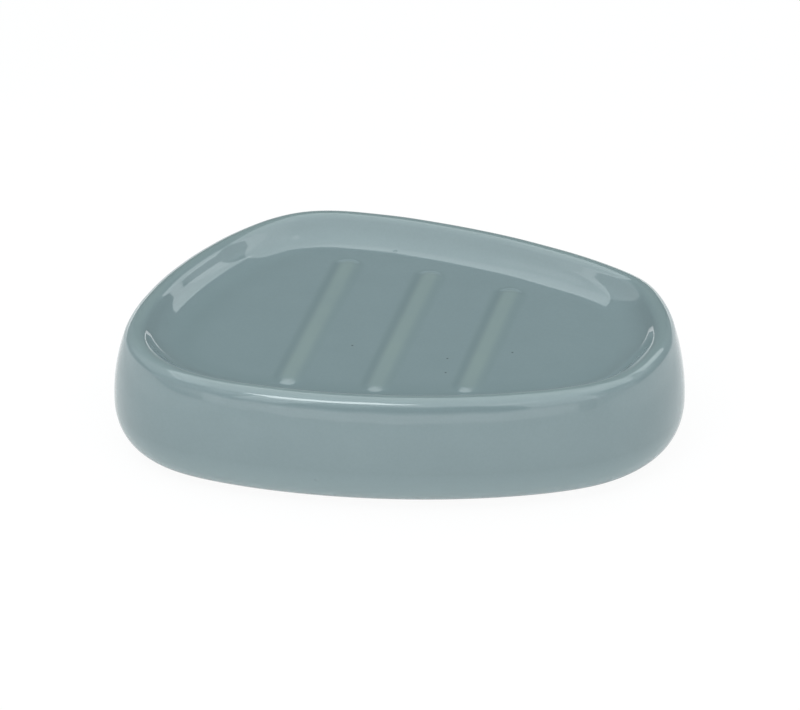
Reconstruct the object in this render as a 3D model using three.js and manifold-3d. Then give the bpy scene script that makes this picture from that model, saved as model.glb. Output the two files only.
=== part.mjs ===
// Soap dish: a hollow slip-cast ceramic body with a shallow ribbed tray, standing on four stick-on pads.
// Millimetres, +Z up. The origin is on the table under the middle of the dish, +X runs along its length
// and +Y to its back.
import * as THREE from 'three';
import { mergeVertices } from 'three/addons/utils/BufferGeometryUtils.js';
import Module from 'manifold-3d';

const wasm = await Module();
wasm.setup();

const { degToRad, euclideanModulo } = THREE.MathUtils;
const FULL_TURN = 2 * Math.PI;
const RIGHT_ANGLE = Math.PI / 2;

// Plan outline at the belly: four corner arcs, anticlockwise from the right. Each is joined to the next by a
// long side arc that is tangent to both, and the curvature eases from arc to arc.
const CORNERS = [
  { x: 43.5, y: 0.5, radius: 24.5, nextSideRadius: 180 },
  { x: -19, y: 26, radius: 28, nextSideRadius: 100 },
  { x: -39.5, y: -14, radius: 31, nextSideRadius: 165 },
  { x: 34, y: -14, radius: 36, nextSideRadius: 72 },
];
const EASE = degToRad(14);
const EASE_STEPS = 24;
const OUTLINE_STEPS = 72;

// Outer wall and rim
const BODY_HEIGHT = 28.4;
const BELLY_HEIGHT = 10.3;
const BASE_INSET = 8.3;
const BASE_SQUARENESS = 2.3;
const WALL_LEAN = 2.6;
const SHOULDER_DROP = 2.2;

// Tray
const TRAY_DEPTH = 5.2;
const LIP_RADIUS = 3.6;
const COVE_RADIUS = 11.2;
const COVE_SLOPE = degToRad(44.5);

// Drain ribs, as bars of a flattened round section, cast in one with the tray floor
const RIB_WIDTH = 6.4;
const RIB_RISE = 0.5;
const RIB_LEAN = degToRad(13.3);
const RIBS = [
  { x: -20, y: -0.5, length: 65.5 },
  { x: 0.9, y: -5.5, length: 63 },
  { x: 21.9, y: -10.5, length: 54 },
];

// Base and hollow
const SKIN = 4.5;
const FOOT_RING_WIDTH = 4;
const BASE_RECESS = 1.5;
const RECESS_BEVEL = 1;
const VENT_RADIUS = 4;
const HOLLOW_CORNER = 4;

// Stick-on pads, each held by a disc of foam tape
const PAD_RADIUS = 6;
const PAD_THICKNESS = 1.8;
const PAD_EDGE = 0.4;
const TAPE_RADIUS = 5.5;
const TAPE_THICKNESS = 0.5;
const BOND_GAP = 0.1;
const PAD_INSET = 20.5;
const PAD_SIDES = 32;
const PADS = { right: degToRad(40), back: degToRad(105), left: degToRad(205), front: degToRad(285) };

// Heights, and the rim's shape, that follow from the dimensions above
const BASE_HEIGHT = PAD_THICKNESS + TAPE_THICKNESS + 2 * BOND_GAP;
const FOOT_HEIGHT = BASE_HEIGHT - BASE_RECESS;
const BELLY = FOOT_HEIGHT + BELLY_HEIGHT;
const CREST = FOOT_HEIGHT + BODY_HEIGHT;
const FLOOR = CREST - TRAY_DEPTH;
const SHOULDER = CREST - SHOULDER_DROP;
const SHOULDER_TILT = Math.atan((2 * WALL_LEAN) / (SHOULDER - BELLY));
const RIM_RADIUS = SHOULDER_DROP / (1 - Math.sin(SHOULDER_TILT));
const CREST_INSET = WALL_LEAN + RIM_RADIUS * Math.cos(SHOULDER_TILT);

// Centre of the arc of a given radius that holds two corner circles inside it and touches both
function sideCentre(from, to, radius) {
  const start = new THREE.Vector2(from.x, from.y);
  const along = new THREE.Vector2(to.x, to.y).sub(start);
  const span = along.length();
  along.normalize();
  const inward = new THREE.Vector2(-along.y, along.x);
  const toStart = radius - from.radius;
  const toEnd = radius - to.radius;
  const foot = (toStart ** 2 - toEnd ** 2 + span ** 2) / (2 * span);
  const offset = Math.sqrt(toStart ** 2 - foot ** 2);
  return start.addScaledVector(along, foot).addScaledVector(inward, offset);
}

// The outline as a list of arcs, each with the range of outward directions that it covers
function outlineArcs() {
  const count = CORNERS.length;
  const sides = CORNERS.map((corner, i) => sideCentre(corner, CORNERS[(i + 1) % count], corner.nextSideRadius));
  const direction = (corner, side) => Math.atan2(corner.y - side.y, corner.x - side.x);
  return CORNERS.flatMap((corner, i) => {
    const lastSide = sides[(i + count - 1) % count];
    const nextSide = sides[i];
    const next = CORNERS[(i + 1) % count];
    const start = direction(corner, lastSide);
    const middle = direction(corner, nextSide);
    const end = direction(next, nextSide);
    return [
      { x: corner.x, y: corner.y, radius: corner.radius, start, sweep: euclideanModulo(middle - start, FULL_TURN) },
      { x: nextSide.x, y: nextSide.y, radius: corner.nextSideRadius, start: middle,
        sweep: euclideanModulo(end - middle, FULL_TURN) },
    ];
  });
}

const ARCS = outlineArcs();

// How far the eased outline reaches in a direction, and how fast that reach changes with the direction
function outlineReach(direction) {
  let reach = 0;
  let change = 0;
  let total = 0;
  for (let step = -EASE_STEPS; step <= EASE_STEPS; step += 1) {
    const weight = 1 - Math.abs(step) / (EASE_STEPS + 1);
    const angle = direction + (EASE * step) / EASE_STEPS;
    const arc = ARCS.find(({ start, sweep }) => euclideanModulo(angle - start, FULL_TURN) <= sweep);
    reach += weight * (arc.x * Math.cos(angle) + arc.y * Math.sin(angle) + arc.radius);
    change += weight * (arc.y * Math.cos(angle) - arc.x * Math.sin(angle));
    total += weight;
  }
  return { reach: reach / total, change: change / total };
}

// Middle of the outline's box, so that the origin can sit under it
const middleAlong = (direction) =>
  (outlineReach(direction).reach - outlineReach(direction + Math.PI).reach) / 2;
const MIDDLE = { x: middleAlong(0), y: middleAlong(RIGHT_ANGLE) };

// Point of the outline, moved inwards by an inset, where the outward normal has the given direction
function outlinePoint(direction, inset) {
  const { reach, change } = outlineReach(direction);
  const cos = Math.cos(direction);
  const sin = Math.sin(direction);
  return new THREE.Vector2(
    (reach - inset) * cos - change * sin - MIDDLE.x,
    (reach - inset) * sin + change * cos - MIDDLE.y,
  );
}

// Evenly spaced values from one number to another, both included
function steps(from, to, count) {
  return Array.from({ length: count + 1 }, (unused, i) => from + ((to - from) * i) / count);
}

// Upright section of the outer skin, from the tray floor out over the rim and down to the foot ring.
// A section point is an inset from the belly outline and a height.
function outerSection() {
  const lip = steps(COVE_SLOPE, 0, 5).map((slope) => ({
    inset: CREST_INSET + LIP_RADIUS * Math.sin(slope),
    z: CREST - LIP_RADIUS * (1 - Math.cos(slope)),
  }));
  const curvedDrop = (LIP_RADIUS + COVE_RADIUS) * (1 - Math.cos(COVE_SLOPE));
  const curvedRun = (LIP_RADIUS + COVE_RADIUS) * Math.sin(COVE_SLOPE);
  const floorInset = CREST_INSET + curvedRun + (TRAY_DEPTH - curvedDrop) / Math.tan(COVE_SLOPE);
  const cove = steps(0, COVE_SLOPE, 6).map((slope) => ({
    inset: floorInset - COVE_RADIUS * Math.sin(slope),
    z: FLOOR + COVE_RADIUS * (1 - Math.cos(slope)),
  }));
  const rim = steps(RIGHT_ANGLE, SHOULDER_TILT, 6).slice(1).map((angle) => ({
    inset: CREST_INSET - RIM_RADIUS * Math.cos(angle),
    z: CREST - RIM_RADIUS * (1 - Math.sin(angle)),
  }));
  const wall = steps(1, 0, 5).slice(1).map((share) => ({
    inset: WALL_LEAN * share ** 2,
    z: BELLY + (SHOULDER - BELLY) * share,
  }));
  const power = 2 / BASE_SQUARENESS;
  const base = steps(RIGHT_ANGLE, 0, 8).slice(1).map((angle) => ({
    inset: BASE_INSET * (1 - Math.sin(angle) ** power),
    z: BELLY - BELLY_HEIGHT * Math.cos(angle) ** power,
  }));
  return [...cove, ...lip, ...rim, ...wall, ...base];
}

// Foot ring, recessed underside and the vent hole through it
function undersideSection() {
  const footInset = BASE_INSET + FOOT_RING_WIDTH;
  return [
    { inset: footInset, z: FOOT_HEIGHT },
    { inset: footInset + RECESS_BEVEL, z: BASE_HEIGHT },
    { radius: VENT_RADIUS, z: BASE_HEIGHT },
    { radius: VENT_RADIUS, z: BASE_HEIGHT + SKIN },
  ];
}

// Hollow that is left where the slip was drained, from its floor round to its ceiling under the tray
function hollowSection() {
  const bottom = BASE_HEIGHT + SKIN;
  const ceiling = FLOOR - SKIN;
  const round = (angle) => SKIN + HOLLOW_CORNER * (1 - Math.cos(angle));
  const lower = steps(RIGHT_ANGLE, 0, 4).map((angle) => ({
    inset: round(angle),
    z: bottom + HOLLOW_CORNER * (1 - Math.sin(angle)),
  }));
  const upper = steps(0, RIGHT_ANGLE, 4).map((angle) => ({
    inset: round(angle),
    z: ceiling - HOLLOW_CORNER * (1 - Math.sin(angle)),
  }));
  return [...lower, ...upper];
}

// One ring of points: the outline moved inwards, or a circle round the middle
function ringPoint(point, direction) {
  if (point.radius !== undefined) {
    return [point.radius * Math.cos(direction), point.radius * Math.sin(direction), point.z];
  }
  const { x, y } = outlinePoint(direction, point.inset);
  return [x, y, point.z];
}

// Closed skin through a list of section points, with a single middle point at each end
function loftGeometry(section) {
  const directions = steps(0, FULL_TURN, OUTLINE_STEPS).slice(0, OUTLINE_STEPS);
  const rings = section.flatMap((point) => directions.map((direction) => ringPoint(point, direction)));
  const start = rings.length;
  const end = start + 1;
  const vertices = [...rings, [0, 0, section[0].z], [0, 0, section.at(-1).z]];
  const triangles = [];
  for (let i = 0; i < OUTLINE_STEPS; i += 1) {
    const next = (i + 1) % OUTLINE_STEPS;
    triangles.push([start, i, next]);
    for (let ring = 0; ring < section.length - 1; ring += 1) {
      const low = ring * OUTLINE_STEPS;
      const high = low + OUTLINE_STEPS;
      triangles.push([low + i, high + i, high + next], [low + i, high + next, low + next]);
    }
    const last = (section.length - 1) * OUTLINE_STEPS;
    triangles.push([last + i, end, last + next]);
  }
  const geometry = new THREE.BufferGeometry();
  geometry.setAttribute('position', new THREE.Float32BufferAttribute(vertices.flat(), 3));
  geometry.setIndex(triangles.flat());
  return geometry;
}

// One drain rib: a capsule flattened to the rib's rise, with its lower half sunk in the tray floor
function ribGeometry({ x, y, length }) {
  const radius = RIB_WIDTH / 2;
  const geometry = new THREE.CapsuleGeometry(radius, length - RIB_WIDTH, 4, 16);
  geometry.scale(1, 1, RIB_RISE / radius);
  geometry.rotateZ(-RIB_LEAN);
  geometry.translate(x, y, FLOOR);
  return geometry;
}

// Solid for joining, from a closed geometry
function toSolid(geometry) {
  const bare = geometry.clone();
  bare.deleteAttribute('normal');
  bare.deleteAttribute('uv');
  const merged = mergeVertices(bare);
  const mesh = new wasm.Mesh({
    numProp: 3,
    vertProperties: new Float32Array(merged.attributes.position.array),
    triVerts: new Uint32Array(merged.index.array),
  });
  return new wasm.Manifold(mesh);
}

// Geometry of a joined solid
function toGeometry(solid) {
  const { vertProperties, triVerts } = solid.getMesh();
  const geometry = new THREE.BufferGeometry();
  geometry.setAttribute('position', new THREE.BufferAttribute(vertProperties, 3));
  geometry.setIndex(new THREE.BufferAttribute(triVerts, 1));
  geometry.computeVertexNormals();
  return geometry;
}

function dishBody() {
  const shell = toSolid(loftGeometry([...outerSection(), ...undersideSection(), ...hollowSection()]));
  const ribbed = RIBS.reduce((solid, rib) => solid.add(toSolid(ribGeometry(rib))), shell);
  const glaze = new THREE.MeshStandardMaterial({ color: 0x83979a, roughness: 0.15, metalness: 0 });
  const mesh = new THREE.Mesh(toGeometry(ribbed), glaze);
  mesh.name = 'dish_body';
  return mesh;
}

// A turned disc that stands on z = 0, with its lower edge bevelled
function discGeometry(radius, thickness, bevel) {
  const profile = [
    new THREE.Vector2(0, 0),
    new THREE.Vector2(radius - bevel, 0),
    new THREE.Vector2(radius, bevel),
    new THREE.Vector2(radius, thickness),
    new THREE.Vector2(0, thickness),
  ];
  return new THREE.LatheGeometry(profile, PAD_SIDES).rotateX(RIGHT_ANGLE);
}

// One pad with the tape disc that bonds it to the recessed underside
function footPad(place, direction) {
  const rubber = new THREE.MeshStandardMaterial({ color: 0xd9dcda, roughness: 0.6, metalness: 0 });
  const foam = new THREE.MeshStandardMaterial({ color: 0xf0eee6, roughness: 0.8, metalness: 0 });
  const pad = new THREE.Mesh(discGeometry(PAD_RADIUS, PAD_THICKNESS, PAD_EDGE), rubber);
  pad.name = `foot_pad_${place}`;
  const tape = new THREE.Mesh(discGeometry(TAPE_RADIUS, TAPE_THICKNESS, 0), foam);
  tape.name = `pad_tape_${place}`;
  tape.position.z = PAD_THICKNESS + BOND_GAP;
  const { x, y } = outlinePoint(direction, PAD_INSET);
  const group = new THREE.Group();
  group.position.set(x, y, 0);
  group.add(pad, tape);
  return group;
}

const soapDish = new THREE.Group();
soapDish.add(dishBody());
for (const [place, direction] of Object.entries(PADS)) {
  soapDish.add(footPad(place, direction));
}

export default soapDish;
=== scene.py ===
"""Looks of the glazed ceramic soap dish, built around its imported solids.

Metres, +Z up. The origin is on the table under the middle of the dish.
+X runs along the dish's length, and +Y to its back.
"""

import math

import bpy
import numpy as np
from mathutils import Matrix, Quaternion, Vector


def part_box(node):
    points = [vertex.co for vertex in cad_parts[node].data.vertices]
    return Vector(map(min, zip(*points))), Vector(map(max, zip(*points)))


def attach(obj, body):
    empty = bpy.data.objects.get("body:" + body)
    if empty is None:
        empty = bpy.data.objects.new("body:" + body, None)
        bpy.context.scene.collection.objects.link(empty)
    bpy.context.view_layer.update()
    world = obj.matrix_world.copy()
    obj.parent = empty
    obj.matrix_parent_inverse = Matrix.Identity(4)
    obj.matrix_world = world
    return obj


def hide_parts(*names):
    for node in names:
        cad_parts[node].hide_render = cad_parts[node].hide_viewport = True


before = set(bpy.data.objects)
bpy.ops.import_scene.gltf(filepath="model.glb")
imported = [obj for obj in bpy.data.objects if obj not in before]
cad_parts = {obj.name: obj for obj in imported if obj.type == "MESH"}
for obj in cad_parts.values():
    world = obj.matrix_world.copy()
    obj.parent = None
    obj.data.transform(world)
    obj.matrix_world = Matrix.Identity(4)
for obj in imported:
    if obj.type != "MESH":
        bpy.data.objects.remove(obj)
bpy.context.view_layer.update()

FULL_TURN = 2 * math.pi
RIGHT_ANGLE = math.pi / 2

# Plan outline at the belly, as each corner's x, y and radius, and the radius of the side arc after it
CORNERS = (
    (0.0435, 0.0005, 0.0245, 0.180),
    (-0.019, 0.026, 0.028, 0.100),
    (-0.0395, -0.014, 0.031, 0.165),
    (0.034, -0.014, 0.036, 0.072),
)
EASE = math.radians(14)
EASE_STEPS = 24
OUTLINE_FINENESS = 8

# Outer wall and rim
BODY_HEIGHT = 0.0284
BELLY_HEIGHT = 0.0103
BASE_INSET = 0.0083
BASE_SQUARENESS = 2.3
WALL_LEAN = 0.0026
SHOULDER_DROP = 0.0022

# Extra lean of the rim at the two front corners, as outward direction, spread and depth
CORNER_LEANS = (
    (math.radians(212), math.radians(40), 0.0005),
    (math.radians(335), math.radians(30), 0.0007),
)

# Tray
TRAY_DEPTH = 0.0052
LIP_RADIUS = 0.0036
COVE_RADIUS = 0.0112
COVE_SLOPE = math.radians(44.5)

# Drain ribs, as x, y and length at half height
RIBS = (
    (-0.0200, -0.0005, 0.0645),
    (0.0009, -0.0055, 0.062),
    (0.0219, -0.0105, 0.053),
)
RIB_LEAN = math.radians(13.3)

# A rib's section: half its flat top, half its foot, its height, and how steep its ends are against its flanks
RIB_CROWN = 0.0010
RIB_FOOT = 0.0042
RIB_RISE = 0.0005
RIB_FRONT_END = 0.9
RIB_BACK_END = 1.08

# Base and hollow
SKIN = 0.0045
FOOT_RING_WIDTH = 0.004
BASE_RECESS = 0.0015
RECESS_BEVEL = 0.001
VENT_RADIUS = 0.004
VENT_EDGE = 0.0008
HOLLOW_CORNER = 0.004

# Stick-on pads, each held by a disc of foam tape
PAD_THICKNESS = 0.0018
PAD_EDGE = 0.0005
PAD_DISH = 0.00015
PAD_DISH_REACH = 0.3
TAPE_THICKNESS = 0.0005
TAPE_BULGE = 0.00008
BOND_GAP = 0.0001
PAD_SIDES = 96

# Rings on the faces of the pads and the tape, as shares of the radius
PAD_TOP_SHARES = (0.3, 0.9)
PAD_FACE_SHARES = (0.97, 0.9, 0.8, 0.6, 0.4, 0.2)
TAPE_SHARES = (0.3, 0.7)

# Where the glaze runs thin, by angle from the rim's crest
THIN_LIP = math.radians(45)
THIN_RIM = math.radians(60)
RIM_THINNESS = 0.5
THIN_IN_PATCHES = (0.6, 1.0)

# Where pooled glaze and painted shade deepen the colour: floor, tray's edge and ribs, more towards the front
# left
# Painted shade: under the lip at the tray's edge, and over the floor towards the front left
FLOOR_POOL_AND_SHADE = 0.35
EDGE_POOL_AND_SHADE = 0.7
EDGE_POOL_AND_SHADE_REACH = 0.007
POOL_AND_SHADE_RUN = np.array((-6, -9))
# Painted shade beside the ribs: their left flanks are deepened more than their right ones
RIB_POOL_AND_SHADE_LEFT = 0.9
RIB_POOL_AND_SHADE_RIGHT = 0.5
RIB_POOL_AND_SHADE_MIDDLE = 0.0030
RIB_POOL_AND_SHADE_REACH = 0.0024

# Height of the wiped foot, its ragged edge, the roughness of the surfaces and the glaze's refractive index
WIPE_HEIGHT = 0.0002
WIPE_RAGGED = 0.25
WIPE_EDGE = (0.45, 0.55)
GLOSS = 0.03
RIB_DULLNESS = 0.22
RIB_DULL_FROM = 0.15
RIB_DULL_TO = 0.7
BARE_ROUGHNESS = 0.8
PAD_ROUGHNESS = (0.4, 0.55)
TAPE_ROUGHNESS = 0.85
GLAZE_IOR = 1.62

# Colours, as linear red, green and blue: a pair holds the two ends of a mottle
GLAZE_COLOURS = ((0.178, 0.233, 0.245), (0.192, 0.249, 0.261))
THIN_COLOUR = (0.200, 0.258, 0.253)
# Pooled glaze and painted shade
POOL_AND_SHADE_COLOUR = (0.156, 0.210, 0.220)
# Painted reflection of the white table, low on the wall
PAINTED_TABLE_REFLECTION_COLOUR = (0.274, 0.346, 0.357)
SPECK_COLOUR = (0.07, 0.09, 0.09)
CLAY_COLOURS = ((0.62, 0.59, 0.54), (0.72, 0.69, 0.64))
PAD_COLOURS = ((0.66, 0.68, 0.67), (0.74, 0.76, 0.75))
TAPE_COLOURS = ((0.70, 0.69, 0.64), (0.88, 0.87, 0.82))
TABLE_COLOUR = (0.9, 0.9, 0.9)

# Sizes of the mottle in the materials, the foam's cells to a metre, and the ranges that their values fill
GLAZE_PATCH = 0.012
GLAZE_GRAIN = 0.0007
GRAIN_DETAIL = 3.0
PAD_GRAIN = 0.0008
PAD_TOOTH = 0.0003
FOAM_CELLS = 6000.0
NOISE_RANGE = (0.3, 0.7)
CELL_RANGE = (0.1, 0.5)

# Slow waves of the glaze, as length and direction, and small marks in it
WAVES = (
    (0.011, (0.90, 0.40, 0.20)),
    (0.016, (-0.20, 0.95, 0.25)),
    (0.019, (-0.85, 0.35, 0.40)),
    (0.024, (0.30, 0.90, -0.30)),
)
WAVE_HEIGHT = 0.000012
SPECKS = ((-0.0116, -0.0132), (0.0111, -0.0268), (0.0116, -0.0198), (0.0275, -0.0168))
SPECK_RADIUS = 0.00035
PIMPLES = ((-0.0011, 0.0357, 0.0245), (0.0292, -0.0468, 0.0294), (-0.0199, -0.0515, 0.0087))
PIMPLE_RADIUS = 0.0006
PIMPLE_HEIGHT = 0.00008

# Heights, and the rim's shape, that follow from the dimensions above
BASE_HEIGHT = PAD_THICKNESS + TAPE_THICKNESS + 2 * BOND_GAP
FOOT_HEIGHT = BASE_HEIGHT - BASE_RECESS
BELLY = FOOT_HEIGHT + BELLY_HEIGHT
CREST = FOOT_HEIGHT + BODY_HEIGHT
FLOOR = CREST - TRAY_DEPTH
ABOVE_RIBS = (FLOOR + 1.5 * RIB_RISE, FLOOR + 2.5 * RIB_RISE)
SHOULDER = CREST - SHOULDER_DROP
SHOULDER_TILT = math.atan(2 * WALL_LEAN / (SHOULDER - BELLY))
RIM_RADIUS = SHOULDER_DROP / (1 - math.sin(SHOULDER_TILT))
CREST_INSET = WALL_LEAN + RIM_RADIUS * math.cos(SHOULDER_TILT)

# Mesh density: points round the outline, and rings on the stretches of the section
AROUND = 450
FLOOR_RINGS = 80
ARC_RINGS = 18
BASE_RINGS = 30
RECESS_RINGS = 12
BEVEL_RINGS = 10
CORNER_RINGS = 6
SMALL_EDGE_RINGS = 9
FLOOR_CENTRE = np.array((0.0103, -0.008))

# Camera, on the photograph's viewing angle
VIEW_ELEVATION = math.radians(29)
VIEW_DISTANCE = 1.15
VIEW_TARGET = Vector((0.00006, -0.00045, 0.01445))
LENS = 208.55

# Table, and how white it looks to the camera and in the glaze
TABLE_RADIUS = 6.0
TABLE_SIDES = 128
TABLE_ROUGHNESS = 0.9
TABLE_GLOSS = 0.1
CAMERA_WHITE = 0.94
MIRROR_WHITE = 0.6

# Room above a white sweep: its level, the sweep's edge, the sweep's levels and the directions between them
ROOM_LEVEL = 0.12
SWEEP_TOP = math.sin(math.radians(5))
SWEEP_SOFTNESS = 0.1
FRONT_SWEEP = 0.95
SIDE_SWEEP = 0.3
BACK_SWEEP = 2.0
MIDDLE_SWEEP = 0.6
FRONT_TO_SIDE = (-0.9, -0.6)
SIDE_TO_BACK = (0.75, 0.93)
MIDDLE_TO_BACK = (0.08, 0.16)

# Softboxes, as name, bearing, elevation, width, height, radiance, turn and distance, with angles in degrees
LAMP_COLOUR = (0.93, 1.0, 1.01)
FAR = 3.0
SOFTBOXES = (
    ("overhead", 90, 88.2, 77, 77, 1.49, 57, FAR),
    ("key", 205.6, 56.4, 24, 13, 6.2, 44, 0.43),
    ("key_glow", 204, 44, 38, 12, 1.0, 8, FAR),
    ("front_low", 185, 3.8, 80, 7, 0.5, 0, FAR),
    ("front_left_panel", 209.5, 27, 12, 39, 1.15, 0, FAR),
    ("front_left_glow", 203, 30, 22, 20, 0.4, 0, FAR),
    ("front_right_panel", 147, 28, 27, 42, 0.95, 0, FAR),
    ("front_right_glow", 144, 28, 36, 46, 0.5, 0, FAR),
    ("back_right_panel", 45.8, 39.7, 20, 17.5, 1.75, 36, 0.6),
    ("back_left_strip", 344, 53.5, 28, 11, 0.35, 25, FAR),
    ("right_lamp", 68, 68, 10, 6, 0.9, 0, FAR),
    ("left_lamp", 293, 64, 14, 8, 0.3, 0, FAR),
    ("right_panel", 71, 37, 26, 20, 0.5, 0, FAR),
    ("left_panel", 292, 37, 38, 38, 0.6, 0, FAR),
    ("left_front_panel", 242, 21, 52, 38, 0.3, 0, FAR),
    ("right_front_panel", 113, 15, 44, 30, 0.4, 0, FAR),
)

# Lit cards that stand on the table, as name, plan points of the back and front end, height and radiance
LIT_CARDS = (
    ("left_card", (-0.120, 0.172), (-0.25, -0.30), 0.30, 0.22),
    ("right_card", (0.112, 0.111), (0.22, -0.16), 0.30, 0.2),
)


def smooth(values):
    """Smooth step from 0 to 1."""
    clipped = np.clip(values, 0, 1)
    return clipped**2 * (3 - 2 * clipped)


def side_centre(first, second, radius):
    """Centre of the arc of a given radius that holds two corner circles inside it and touches both."""
    start = np.array(first[:2])
    along = np.array(second[:2]) - start
    span = np.linalg.norm(along)
    along = along / span
    inward = np.array((-along[1], along[0]))
    to_start = radius - first[2]
    to_end = radius - second[2]
    foot = (to_start**2 - to_end**2 + span**2) / (2 * span)
    return start + along * foot + inward * math.sqrt(to_start**2 - foot**2)


def outline_arcs():
    """The outline's arcs as rows of x, y, radius and the outward direction where the arc starts."""
    count = len(CORNERS)
    sides = [side_centre(CORNERS[i], CORNERS[(i + 1) % count], CORNERS[i][3]) for i in range(count)]
    arcs = []
    for corner, last_side, next_side in zip(CORNERS, sides[-1:] + sides[:-1], sides):
        start = math.atan2(corner[1] - last_side[1], corner[0] - last_side[0])
        middle = math.atan2(corner[1] - next_side[1], corner[0] - next_side[0])
        arcs.append((corner[0], corner[1], corner[2], start))
        arcs.append((next_side[0], next_side[1], corner[3], middle))
    return np.array(arcs)


ARCS = outline_arcs()


def outline_reach(directions):
    """How far the eased outline reaches in each direction, and how fast that changes with the direction."""
    reach = np.zeros_like(directions)
    change = np.zeros_like(directions)
    total = 0.0
    for step in range(-EASE_STEPS, EASE_STEPS + 1):
        weight = 1 - abs(step) / (EASE_STEPS + 1)
        angles = directions + EASE * step / EASE_STEPS
        past_start = (angles[:, None] - ARCS[:, 3]) % FULL_TURN
        x, y, radius = ARCS[np.argmin(past_start, axis=1), :3].T
        reach += weight * (x * np.cos(angles) + y * np.sin(angles) + radius)
        change += weight * (y * np.cos(angles) - x * np.sin(angles))
        total += weight
    return reach / total, change / total


def outline_points(directions, inset):
    """Plan points of the outline moved inwards by an inset, one for each outward direction."""
    reach, change = outline_reach(directions)
    cos, sin = np.cos(directions), np.sin(directions)
    x = (reach - inset) * cos - change * sin
    y = (reach - inset) * sin + change * cos
    return np.stack((x, y), axis=1)


def even_directions(count):
    """Outward directions whose points are evenly spread along the outline."""
    fine = np.linspace(0, FULL_TURN, OUTLINE_FINENESS * count + 1)
    steps = np.linalg.norm(np.diff(outline_points(fine, 0), axis=0), axis=1)
    length = np.concatenate(([0], np.cumsum(steps)))
    return np.interp(np.arange(count) * length[-1] / count, length, fine)


DIRECTIONS = even_directions(AROUND)
REACH_ON_AXES = outline_reach(np.arange(4) * RIGHT_ANGLE)[0]
MIDDLE = (REACH_ON_AXES[:2] - REACH_ON_AXES[2:]) / 2
BELLY_POINTS = outline_points(DIRECTIONS, 0) - MIDDLE
OUTWARD = np.stack((np.cos(DIRECTIONS), np.sin(DIRECTIONS)), axis=1)


def corner_lean():
    """How much further in the rim lies in each direction, at the front corners."""
    total = np.zeros(AROUND)
    for direction, spread, depth in CORNER_LEANS:
        away = np.abs((DIRECTIONS - direction + math.pi) % FULL_TURN - math.pi)
        total += depth * smooth(1 - away / spread)
    return total


LEAN = corner_lean()


def outline_ring(inset, lean=0.0):
    """The outline's plan points, moved inwards by an inset and by a share of the front corners' lean."""
    return BELLY_POINTS - (inset + lean * LEAN)[:, None] * OUTWARD


def arc_points(inset, height, radius, start, end, count):
    """Section points on an arc, by the angle from the inward direction."""
    angles = np.linspace(start, end, count)
    return np.stack((inset + radius * np.cos(angles), height + radius * np.sin(angles)), axis=1)


def glaze_ring(points, height, thin=0.0, pool_and_shade=0.0, bare=0.0):
    """A ring of plan points at one height, with how thin or wiped bare the glaze is, and its pooled glaze and
    painted shade.
    """
    ring = np.zeros((len(points), 6))
    ring[:, :2] = points
    ring[:, 2] = height
    ring[:, 3] = thin
    ring[:, 4] = pool_and_shade
    ring[:, 5] = bare
    return ring


def pooled_and_shaded(points, at_edge):
    """How much pooled glaze and painted shade deepen the colour at plan points of the tray, more to the front
    left.
    """
    return smooth(0.5 + points @ POOL_AND_SHADE_RUN) * (FLOOR_POOL_AND_SHADE + (EDGE_POOL_AND_SHADE - FLOOR_POOL_AND_SHADE) * at_edge)


def side_rings():
    """Rings of the tray's side, from its floor up to the rim's crest."""
    curved_drop = (LIP_RADIUS + COVE_RADIUS) * (1 - math.cos(COVE_SLOPE))
    curved_run = (LIP_RADIUS + COVE_RADIUS) * math.sin(COVE_SLOPE)
    floor_inset = CREST_INSET + curved_run + (TRAY_DEPTH - curved_drop) / math.tan(COVE_SLOPE)
    steps = np.linspace(0, 1, ARC_RINGS)
    cove = arc_points(floor_inset, FLOOR + COVE_RADIUS, COVE_RADIUS,
                      -RIGHT_ANGLE, -RIGHT_ANGLE - COVE_SLOPE, ARC_RINGS)
    lip = arc_points(CREST_INSET, CREST - LIP_RADIUS, LIP_RADIUS,
                     RIGHT_ANGLE - COVE_SLOPE, RIGHT_ANGLE, ARC_RINGS)
    rings = []
    # The cove holds pooled glaze and painted shade, most at its foot
    for (inset, height), share in zip(cove, smooth(1 - steps)):
        points = outline_ring(inset, 1)
        rings.append(glaze_ring(points, height, pool_and_shade=share * pooled_and_shaded(points, 1)))
    thinness = RIM_THINNESS * smooth(1 - (1 - steps) * COVE_SLOPE / THIN_LIP)
    for (inset, height), thin in zip(lip, thinness):
        rings.append(glaze_ring(outline_ring(inset, 1), height, thin=thin))
    return floor_inset, rings


def nearest_rib(points):
    """Distance of plan points from the nearest rib's middle line, and how far to its left they lie."""
    along = np.array((math.sin(RIB_LEAN), math.cos(RIB_LEAN)))
    left = np.array((-along[1], along[0]))
    half_way_down = (RIB_CROWN + RIB_FOOT) / 2
    distance = np.full(len(points), np.inf)
    to_left = np.zeros(len(points))
    for x, y, length in RIBS:
        offset = points - np.array((x, y))
        place = offset @ along
        past_back = np.maximum(place - length / 2 + half_way_down / RIB_BACK_END, 0) * RIB_BACK_END
        past_front = np.maximum(-place - length / 2 + half_way_down / RIB_FRONT_END, 0) * RIB_FRONT_END
        away = np.hypot(offset @ left, past_back + past_front)
        to_left = np.where(away < distance, offset @ left, to_left)
        distance = np.minimum(distance, away)
    return distance, to_left


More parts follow.
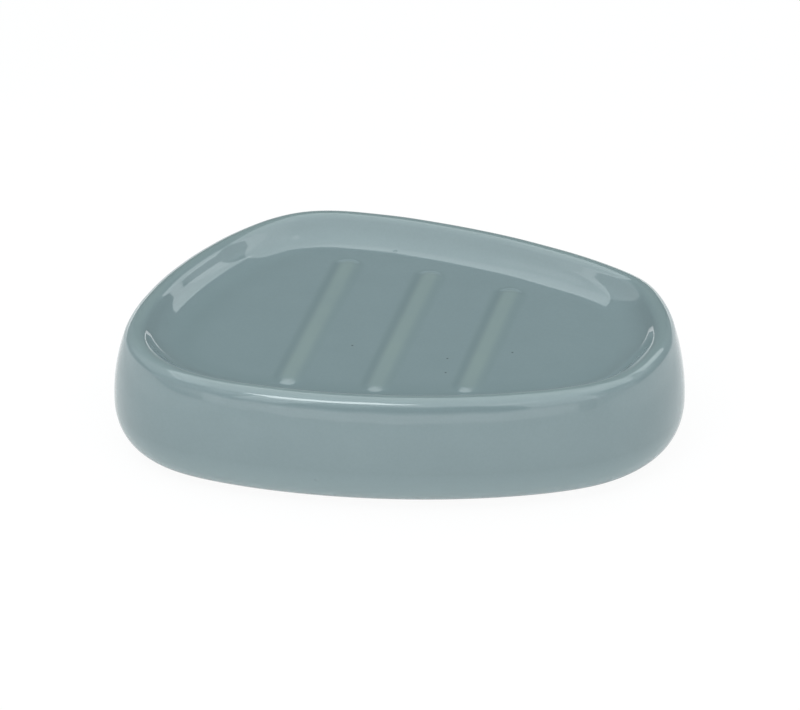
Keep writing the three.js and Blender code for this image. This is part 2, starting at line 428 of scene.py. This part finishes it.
def raise_ribs(ring):
    """Lifts a ring of the tray where it crosses the drain ribs, with pooled glaze and painted shade along
    them.
    """
    distance, to_left = nearest_rib(ring[:, :2])
    rise = 1 - smooth((distance - RIB_CROWN) / (RIB_FOOT - RIB_CROWN))
    ring[:, 2] += RIB_RISE * rise
    ring[:, 3] = np.maximum(ring[:, 3], rise)
    # Painted shade: each rib's left flank is deepened more than its right one
    pool_and_shade = RIB_POOL_AND_SHADE_RIGHT + (RIB_POOL_AND_SHADE_LEFT - RIB_POOL_AND_SHADE_RIGHT) * smooth(0.5 + to_left / RIB_FOOT / 2)
    pool_and_shade *= smooth(1 - np.abs(distance - RIB_POOL_AND_SHADE_MIDDLE) / RIB_POOL_AND_SHADE_REACH)
    ring[:, 4] = np.maximum(ring[:, 4] * (1 - rise), pool_and_shade)


def tray_rings():
    """Rings from the middle of the ribbed tray floor out to the rim's crest."""
    floor_inset, sides = side_rings()
    edge = outline_ring(floor_inset, 1)
    to_edge = np.linalg.norm(edge - FLOOR_CENTRE, axis=1)
    rings = []
    for share in np.arange(1, FLOOR_RINGS) / FLOOR_RINGS:
        points = FLOOR_CENTRE + share * (edge - FLOOR_CENTRE)
        # Pooled glaze and painted shade deepen the floor towards the tray's edge and the front left
        at_edge = smooth(1 - (1 - share) * to_edge / EDGE_POOL_AND_SHADE_REACH)
        rings.append(glaze_ring(points, FLOOR, pool_and_shade=pooled_and_shaded(points, at_edge)))
    rings += sides
    for ring in rings:
        raise_ribs(ring)
    return rings


def wall_rings():
    """Rings of the rim's outer side, the wall and the rounded base, from the crest down to the foot."""
    turn = np.linspace(RIGHT_ANGLE, math.pi - SHOULDER_TILT, ARC_RINGS)[1:]
    rim = arc_points(CREST_INSET, CREST - RIM_RADIUS, RIM_RADIUS, turn[0], turn[-1], len(turn))
    share = np.linspace(1, 0, ARC_RINGS)[1:]
    wall = np.stack((WALL_LEAN * share**2, BELLY + (SHOULDER - BELLY) * share), axis=1)
    angles = np.linspace(RIGHT_ANGLE, 0, BASE_RINGS)[1:]
    power = 2 / BASE_SQUARENESS
    base = np.stack((BASE_INSET * (1 - np.sin(angles) ** power),
                     BELLY - BELLY_HEIGHT * np.cos(angles) ** power), axis=1)
    rings = []
    thinness = RIM_THINNESS * smooth(1 - (turn - RIGHT_ANGLE) / THIN_RIM)
    for (inset, height), thin in zip(rim, thinness):
        rings.append(glaze_ring(outline_ring(inset, 1), height, thin=thin))
    for inset, height in np.concatenate((wall, base)):
        lean = max(height - BELLY, 0) ** 2 / (SHOULDER - BELLY) ** 2
        bare = smooth(2 - (height - FOOT_HEIGHT) / WIPE_HEIGHT)
        rings.append(glaze_ring(outline_ring(inset, lean), height, bare=bare))
    return rings


def underside_rings():
    """Rings of the bare foot ring, the glazed recess, the vent's rounded edge and the vent's wall."""
    foot = BASE_INSET + FOOT_RING_WIDTH
    rings = [glaze_ring(outline_ring(inset), FOOT_HEIGHT, bare=1)
             for inset in np.linspace(BASE_INSET, foot, CORNER_RINGS)[1:]]
    for share in np.linspace(0, 1, BEVEL_RINGS)[1:]:
        points = outline_ring(foot + share * RECESS_BEVEL)
        height = FOOT_HEIGHT + BASE_RECESS * smooth(share)
        rings.append(glaze_ring(points, height, bare=smooth(1 - 2 * share)))
    recess = outline_ring(foot + RECESS_BEVEL)
    vent = (VENT_RADIUS + VENT_EDGE) * OUTWARD
    for share in np.linspace(0, 1, RECESS_RINGS)[1:]:
        rings.append(glaze_ring(recess + share * (vent - recess), BASE_HEIGHT))
    for angle in np.linspace(0, RIGHT_ANGLE, CORNER_RINGS)[1:]:
        radius = VENT_RADIUS + VENT_EDGE * (1 - math.sin(angle))
        height = BASE_HEIGHT + VENT_EDGE * (1 - math.cos(angle))
        rings.append(glaze_ring(radius * OUTWARD, height, thin=1))
    rings.append(glaze_ring(VENT_RADIUS * OUTWARD, BASE_HEIGHT + SKIN, bare=1))
    return rings


def hollow_rings():
    """Rings of the unglazed hollow inside the casting, which opens through the vent."""
    bottom = BASE_HEIGHT + SKIN
    ceiling = FLOOR - SKIN
    inset = SKIN + HOLLOW_CORNER
    lower = arc_points(inset, bottom + HOLLOW_CORNER, HOLLOW_CORNER, -RIGHT_ANGLE, -math.pi, CORNER_RINGS)
    upper = arc_points(inset, ceiling - HOLLOW_CORNER, HOLLOW_CORNER, math.pi, RIGHT_ANGLE, CORNER_RINGS)
    return [glaze_ring(outline_ring(inset), height, bare=1)
            for inset, height in np.concatenate((lower, upper))]


def skin_mesh(name, rings, start, end):
    """Closed mesh through rings of points, with a single middle point at each end."""
    count = len(rings[0])
    points = np.concatenate([ring[:, :3] for ring in rings] + [[start], [end]])
    first = np.arange(count)
    second = (first + 1) % count
    faces = [np.stack((np.full(count, len(points) - 2), first, second), axis=1).tolist()]
    for ring in range(len(rings) - 1):
        low, high = ring * count, (ring + 1) * count
        faces.append(np.stack((low + first, high + first, high + second, low + second), axis=1).tolist())
    last = (len(rings) - 1) * count
    faces.append(np.stack((last + first, np.full(count, len(points) - 1), last + second), axis=1).tolist())
    mesh = bpy.data.meshes.new(name)
    mesh.from_pydata(points.tolist(), [], [face for row in faces for face in row])
    mesh.polygons.foreach_set("use_smooth", np.ones(len(mesh.polygons), bool))
    return mesh


def make_uneven(mesh):
    """Gives a mesh slow waves along its own facing, which fade out towards the foot."""
    points = np.empty(3 * len(mesh.vertices))
    facing = np.empty(3 * len(mesh.vertices))
    mesh.vertices.foreach_get("co", points)
    mesh.vertex_normals.foreach_get("vector", facing)
    points, facing = points.reshape(-1, 3), facing.reshape(-1, 3)
    waves = sum(np.sin(FULL_TURN * (points @ np.array(direction)) / length) for length, direction in WAVES)
    size = WAVE_HEIGHT * smooth((points[:, 2] - FOOT_HEIGHT) / BELLY_HEIGHT)
    moved = points + (size * waves)[:, None] * facing
    mesh.vertices.foreach_set("co", moved.ravel())
    mesh.update()


def add_glaze_layers(mesh, rings):
    """Keeps on the mesh how thin or bare the glaze is at each point, and its pooled glaze and painted shade.
    """
    values = np.concatenate([ring[:, 3:] for ring in rings] + [rings[0][:1, 3:], rings[-1][:1, 3:]])
    for column, name in enumerate(("thin", "pool_and_shade", "bare")):
        layer = mesh.attributes.new(name, "FLOAT", "POINT")
        layer.data.foreach_set("value", np.ascontiguousarray(values[:, column]))


def add_piece(name, mesh, material, node):
    """Puts a mesh into the scene in the place of a CAD node."""
    piece = bpy.data.objects.new(name, mesh)
    bpy.context.scene.collection.objects.link(piece)
    mesh.materials.append(material)
    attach(piece, "root")
    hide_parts(node)


def add_node(tree, kind, inputs=None, **settings):
    """Adds a shader node, with its settings and with values or links for its inputs."""
    made = tree.nodes.new(kind)
    for name, value in settings.items():
        setattr(made, name, value)
    for name, value in (inputs or {}).items():
        if isinstance(value, bpy.types.NodeSocket):
            tree.links.new(value, made.inputs[name])
        else:
            made.inputs[name].default_value = value
    return made


def new_material(name):
    """A material with a Principled shader, and its node tree, that shader and its object coordinates."""
    material = bpy.data.materials.new(name)
    material.use_nodes = True
    tree = material.node_tree
    place = add_node(tree, "ShaderNodeTexCoord").outputs["Object"]
    return material, tree, tree.nodes["Principled BSDF"], place


def noise(tree, place, size, detail=2.0):
    """Noise with features of a given size in metres."""
    inputs = {"Vector": place, "Scale": 1 / size, "Detail": detail}
    return add_node(tree, "ShaderNodeTexNoise", inputs).outputs["Fac"]


def mottled(tree, value, value_range, colours):
    """Colour that runs from one of two colours to the other as a value runs through a range."""
    made = add_node(tree, "ShaderNodeValToRGB", {"Fac": value})
    for element, position, colour in zip(made.color_ramp.elements, value_range, colours):
        element.position = position
        element.color = (*colour, 1)
    return made.outputs["Color"]


def scaled(tree, value, low, high, to_low, to_high):
    """A value mapped from one range to another, and held at its ends."""
    inputs = {"Value": value, "From Min": low, "From Max": high, "To Min": to_low, "To Max": to_high}
    return add_node(tree, "ShaderNodeMapRange", inputs).outputs["Result"]


def combine(tree, operation, first, second):
    """Result of a sum, a product or another piece of arithmetic on two values, each a link or a number."""
    return add_node(tree, "ShaderNodeMath", {0: first, 1: second}, operation=operation).outputs["Value"]


def blend_colours(tree, factor, first, second):
    """Colours mixed by a factor; each is a link or a plain colour."""
    made = add_node(tree, "ShaderNodeMix", data_type="RGBA")
    sockets = [socket for socket in made.inputs if socket.enabled]
    for socket, value in zip(sockets, (factor, first, second)):
        if isinstance(value, bpy.types.NodeSocket):
            tree.links.new(value, socket)
        else:
            socket.default_value = (*value, 1)
    return [socket for socket in made.outputs if socket.enabled][0]


def layer_value(tree, name):
    """One of the glaze layers that the mesh keeps."""
    return add_node(tree, "ShaderNodeAttribute", attribute_name=name).outputs["Fac"]


def marks(tree, place, centres, radius):
    """1 at each of some points, falling to 0 at a radius round them."""
    core = radius / 3
    nearest = 0.0
    for centre in centres:
        inputs = {0: place, 1: centre}
        away = add_node(tree, "ShaderNodeVectorMath", inputs, operation="DISTANCE").outputs["Value"]
        nearest = combine(tree, "MAXIMUM", nearest, scaled(tree, away, core, radius, 1.0, 0.0))
    return nearest


def glaze_colour(tree, place, height, grain):
    """Mottled colour: paler thin glaze, pooled glaze and painted shade, a painted table reflection low down,
    and specks.
    """
    patch = noise(tree, place, GLAZE_PATCH)
    mottle = combine(tree, "MULTIPLY", combine(tree, "ADD", patch, grain), 0.5)
    colour = mottled(tree, mottle, NOISE_RANGE, GLAZE_COLOURS)
    uneven = scaled(tree, patch, *NOISE_RANGE, *THIN_IN_PATCHES)
    thin = combine(tree, "MULTIPLY", layer_value(tree, "thin"), uneven)
    colour = blend_colours(tree, thin, colour, THIN_COLOUR)
    # Pooled glaze and painted shade deepen the colour
    colour = blend_colours(tree, layer_value(tree, "pool_and_shade"), colour, POOL_AND_SHADE_COLOUR)
    # Painted reflection of the white table: paler towards the foot
    low = scaled(tree, height, FOOT_HEIGHT, BELLY, 1.0, 0.0)
    colour = blend_colours(tree, low, colour, PAINTED_TABLE_REFLECTION_COLOUR)
    specks = marks(tree, place, [(x, y, FLOOR) for x, y in SPECKS], SPECK_RADIUS)
    return blend_colours(tree, specks, colour, SPECK_COLOUR)


def bare_share(tree, grain):
    """1 where the glaze was wiped off the clay and 0 elsewhere, with a ragged edge between them."""
    ragged = scaled(tree, grain, *NOISE_RANGE, -WIPE_RAGGED, WIPE_RAGGED)
    wiped = combine(tree, "ADD", layer_value(tree, "bare"), ragged)
    return scaled(tree, wiped, *WIPE_EDGE, 0.0, 1.0)


def glaze_roughness(tree, height, bare):
    """Roughness of a glossy glaze that is duller on the ribs, and of the dry clay where it was wiped off."""
    below_cove = scaled(tree, height, *ABOVE_RIBS, 1.0, 0.0)
    on_ribs = combine(tree, "MULTIPLY", layer_value(tree, "thin"), below_cove)
    dull = scaled(tree, on_ribs, RIB_DULL_FROM, RIB_DULL_TO, GLOSS, RIB_DULLNESS)
    dry = scaled(tree, bare, 0.0, 1.0, GLOSS, BARE_ROUGHNESS)
    return combine(tree, "MAXIMUM", dull, dry)


def glaze_material():
    """Grey-green glaze with a few pimples, over a cream stoneware foot."""
    material, tree, shader, place = new_material("glaze")
    height = add_node(tree, "ShaderNodeSeparateXYZ", {"Vector": place}).outputs["Z"]
    grain = noise(tree, place, GLAZE_GRAIN, GRAIN_DETAIL)
    bare = bare_share(tree, grain)
    clay = mottled(tree, grain, NOISE_RANGE, CLAY_COLOURS)
    colour = blend_colours(tree, bare, glaze_colour(tree, place, height, grain), clay)
    tree.links.new(colour, shader.inputs["Base Color"])
    tree.links.new(glaze_roughness(tree, height, bare), shader.inputs["Roughness"])
    shader.inputs["IOR"].default_value = GLAZE_IOR
    bumps = {"Height": marks(tree, place, PIMPLES, PIMPLE_RADIUS), "Distance": PIMPLE_HEIGHT}
    tree.links.new(add_node(tree, "ShaderNodeBump", bumps).outputs["Normal"], shader.inputs["Normal"])
    return material


def pad_material():
    """Matt silicone rubber."""
    material, tree, shader, place = new_material("pad")
    colour = mottled(tree, noise(tree, place, PAD_GRAIN), NOISE_RANGE, PAD_COLOURS)
    roughness = scaled(tree, noise(tree, place, PAD_TOOTH), *NOISE_RANGE, *PAD_ROUGHNESS)
    tree.links.new(colour, shader.inputs["Base Color"])
    tree.links.new(roughness, shader.inputs["Roughness"])
    return material


def tape_material():
    """White foam tape with small open cells."""
    material, tree, shader, place = new_material("tape")
    cells = add_node(tree, "ShaderNodeTexVoronoi", {"Vector": place, "Scale": FOAM_CELLS}).outputs["Distance"]
    tree.links.new(mottled(tree, cells, CELL_RANGE, TAPE_COLOURS), shader.inputs["Base Color"])
    shader.inputs["Roughness"].default_value = TAPE_ROUGHNESS
    return material


def make_body():
    """The glazed casting: tray with ribs, rim, wall, foot ring, recessed underside, vent and hollow."""
    rings = tray_rings() + wall_rings() + underside_rings() + hollow_rings()
    start = (*FLOOR_CENTRE, FLOOR)
    end = (0, 0, FLOOR - SKIN)
    mesh = skin_mesh("dish_glazed", rings, start, end)
    make_uneven(mesh)
    add_glaze_layers(mesh, rings)
    add_piece("dish_glazed", mesh, glaze_material(), "dish_body")


def turned_mesh(name, node, profile):
    """Mesh of a small disc, through a profile of radii and heights, in the middle of a CAD node."""
    low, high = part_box(node)
    middle = np.array((low + high) / 2)
    angles = np.arange(PAD_SIDES) * FULL_TURN / PAD_SIDES
    unit = np.stack((np.cos(angles), np.sin(angles)), axis=1)
    rings = [np.column_stack((middle[:2] + radius * unit, np.full(PAD_SIDES, height)))
             for radius, height in profile]
    return skin_mesh(name, rings, (*middle[:2], profile[0][1]), (*middle[:2], profile[-1][1]))


def make_pad(place, material):
    """A silicone pad with a rounded lower edge and a slightly dished face."""
    node = "foot_pad_" + place
    name = "silicone_pad_" + place
    low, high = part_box(node)
    radius = (high.x - low.x) / 2
    face = radius - PAD_EDGE
    top_edge = PAD_EDGE / 3
    profile = [(face * share, high.z) for share in PAD_TOP_SHARES]
    profile += [(radius - top_edge, high.z), (radius, high.z - top_edge)]
    for angle in np.linspace(0, RIGHT_ANGLE, SMALL_EDGE_RINGS):
        profile.append((face + PAD_EDGE * math.cos(angle), low.z + PAD_EDGE * (1 - math.sin(angle))))
    for share in PAD_FACE_SHARES:
        dished = PAD_DISH * float(smooth((1 - share) / PAD_DISH_REACH))
        profile.append((face * share, low.z + dished))
    add_piece(name, turned_mesh(name, node, profile), material, node)


def make_tape(place, material):
    """A disc of foam tape whose edge bulges a little where it is squeezed."""
    node = "pad_tape_" + place
    name = "foam_tape_" + place
    low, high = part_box(node)
    radius = (high.x - low.x) / 2
    profile = [(radius * share, high.z) for share in TAPE_SHARES]
    for share in np.linspace(1, 0, SMALL_EDGE_RINGS):
        bulge = TAPE_BULGE * math.sin(math.pi * share)
        profile.append((radius - TAPE_BULGE + bulge, low.z + (high.z - low.z) * share))
    profile += [(radius * share, low.z) for share in reversed(TAPE_SHARES)]
    add_piece(name, turned_mesh(name, node, profile), material, node)


def make_pads():
    """The four pads and the tape discs that hold them."""
    silicone = pad_material()
    foam = tape_material()
    for place in ("right", "back", "left", "front"):
        make_pad(place, silicone)
        make_tape(place, foam)


def make_floor():
    """A wide white table top, whose shadows look paler than they are."""
    bpy.ops.mesh.primitive_circle_add(vertices=TABLE_SIDES, radius=TABLE_RADIUS, fill_type="NGON")
    floor = bpy.context.object
    floor.name = "table"
    material, tree, shader = new_material("table")[:3]
    shader.inputs["Base Color"].default_value = (*TABLE_COLOUR, 1)
    shader.inputs["Roughness"].default_value = TABLE_ROUGHNESS
    shader.inputs["Specular IOR Level"].default_value = TABLE_GLOSS
    rays = add_node(tree, "ShaderNodeLightPath").outputs
    mirrored = combine(tree, "MAXIMUM", rays["Is Glossy Ray"], rays["Is Transmission Ray"])
    share = combine(tree, "MAXIMUM", combine(tree, "MULTIPLY", rays["Is Camera Ray"], CAMERA_WHITE),
                    combine(tree, "MULTIPLY", mirrored, MIRROR_WHITE))
    white = add_node(tree, "ShaderNodeEmission", {"Color": (1, 1, 1, 1), "Strength": 1.0})
    layers = {0: share, 1: shader.outputs["BSDF"], 2: white.outputs["Emission"]}
    mixed = add_node(tree, "ShaderNodeMixShader", layers).outputs["Shader"]
    tree.links.new(mixed, tree.nodes["Material Output"].inputs["Surface"])
    floor.data.materials.append(material)


def add_light(name, place, facing, width, height, radiance, turn=0):
    """A rectangular light of a given brightness, turned by some degrees about the way it faces."""
    lamp = bpy.data.lights.new(name, "AREA")
    lamp.shape = "RECTANGLE"
    lamp.size = width
    lamp.size_y = height
    lamp.energy = radiance * math.pi * width * height
    lamp.color = LAMP_COLOUR
    light = bpy.data.objects.new(name, lamp)
    light.location = place
    light.rotation_mode = "QUATERNION"
    light.rotation_quaternion = facing.to_track_quat("-Z", "Y") @ Quaternion((0, 0, 1), math.radians(turn))
    light.visible_camera = False
    bpy.context.scene.collection.objects.link(light)


def softbox(name, bearing, elevation, width, height, radiance, turn, distance):
    """A light that faces the dish, by the degrees of its direction and of its size.

    The bearing is 0 behind the dish and 90 to its right.
    """
    bearing, elevation = math.radians(bearing), math.radians(elevation)
    away = Vector((math.cos(elevation) * math.sin(bearing), math.cos(elevation) * math.cos(bearing),
                   math.sin(elevation)))
    size = [2 * distance * math.tan(math.radians(angle) / 2) for angle in (width, height)]
    add_light(name, distance * away, -away, size[0], size[1], radiance, turn)


def lit_card(name, back, front, height, radiance):
    """A lit white card that stands on the table, from one plan point to another, and faces the dish."""
    back, front = Vector((*back, 0)), Vector((*front, 0))
    along = front - back
    facing = along.cross(Vector((0, 0, 1)))
    middle = (back + front) / 2
    if facing.dot(middle) > 0:
        facing = -facing
    add_light(name, middle + Vector((0, 0, height / 2)), facing, along.length, height, radiance)


def make_lights():
    """The softboxes round the dish and the lit cards at its sides."""
    for row in SOFTBOXES:
        softbox(*row)
    for row in LIT_CARDS:
        lit_card(*row)


def make_room():
    """A dim room above a white sweep round the table, which is brightest to both sides of straight behind."""
    world = bpy.data.worlds.new("room")
    world.use_nodes = True
    tree = world.node_tree
    view = add_node(tree, "ShaderNodeTexCoord").outputs["Generated"]
    parts = add_node(tree, "ShaderNodeSeparateXYZ", {"Vector": view}).outputs
    front = scaled(tree, parts["Y"], *FRONT_TO_SIDE, FRONT_SWEEP, SIDE_SWEEP)
    aside = combine(tree, "ABSOLUTE", parts["X"], 0.0)
    back = scaled(tree, aside, *MIDDLE_TO_BACK, MIDDLE_SWEEP, BACK_SWEEP)
    sweep = scaled(tree, parts["Y"], *SIDE_TO_BACK, front, back)
    edge = SWEEP_TOP * (1 - SWEEP_SOFTNESS), SWEEP_TOP * (1 + SWEEP_SOFTNESS)
    level = scaled(tree, parts["Z"], *edge, sweep, ROOM_LEVEL)
    tree.links.new(level, tree.nodes["Background"].inputs["Strength"])
    tree.nodes["Background"].inputs["Color"].default_value = (1, 1, 1, 1)
    bpy.context.scene.world = world


def make_camera():
    """The camera, on the photograph's viewing angle."""
    camera = bpy.data.objects.new("camera", bpy.data.cameras.new("camera"))
    camera.data.lens = LENS
    back = Vector((0, -math.cos(VIEW_ELEVATION), math.sin(VIEW_ELEVATION)))
    camera.location = VIEW_TARGET + VIEW_DISTANCE * back
    camera.rotation_mode = "QUATERNION"
    camera.rotation_quaternion = (-back).to_track_quat("-Z", "Y")
    bpy.context.scene.collection.objects.link(camera)
    bpy.context.scene.camera = camera


make_body()
make_pads()
make_floor()
make_lights()
make_room()
make_camera()
bpy.context.scene.view_settings.view_transform = "Standard"
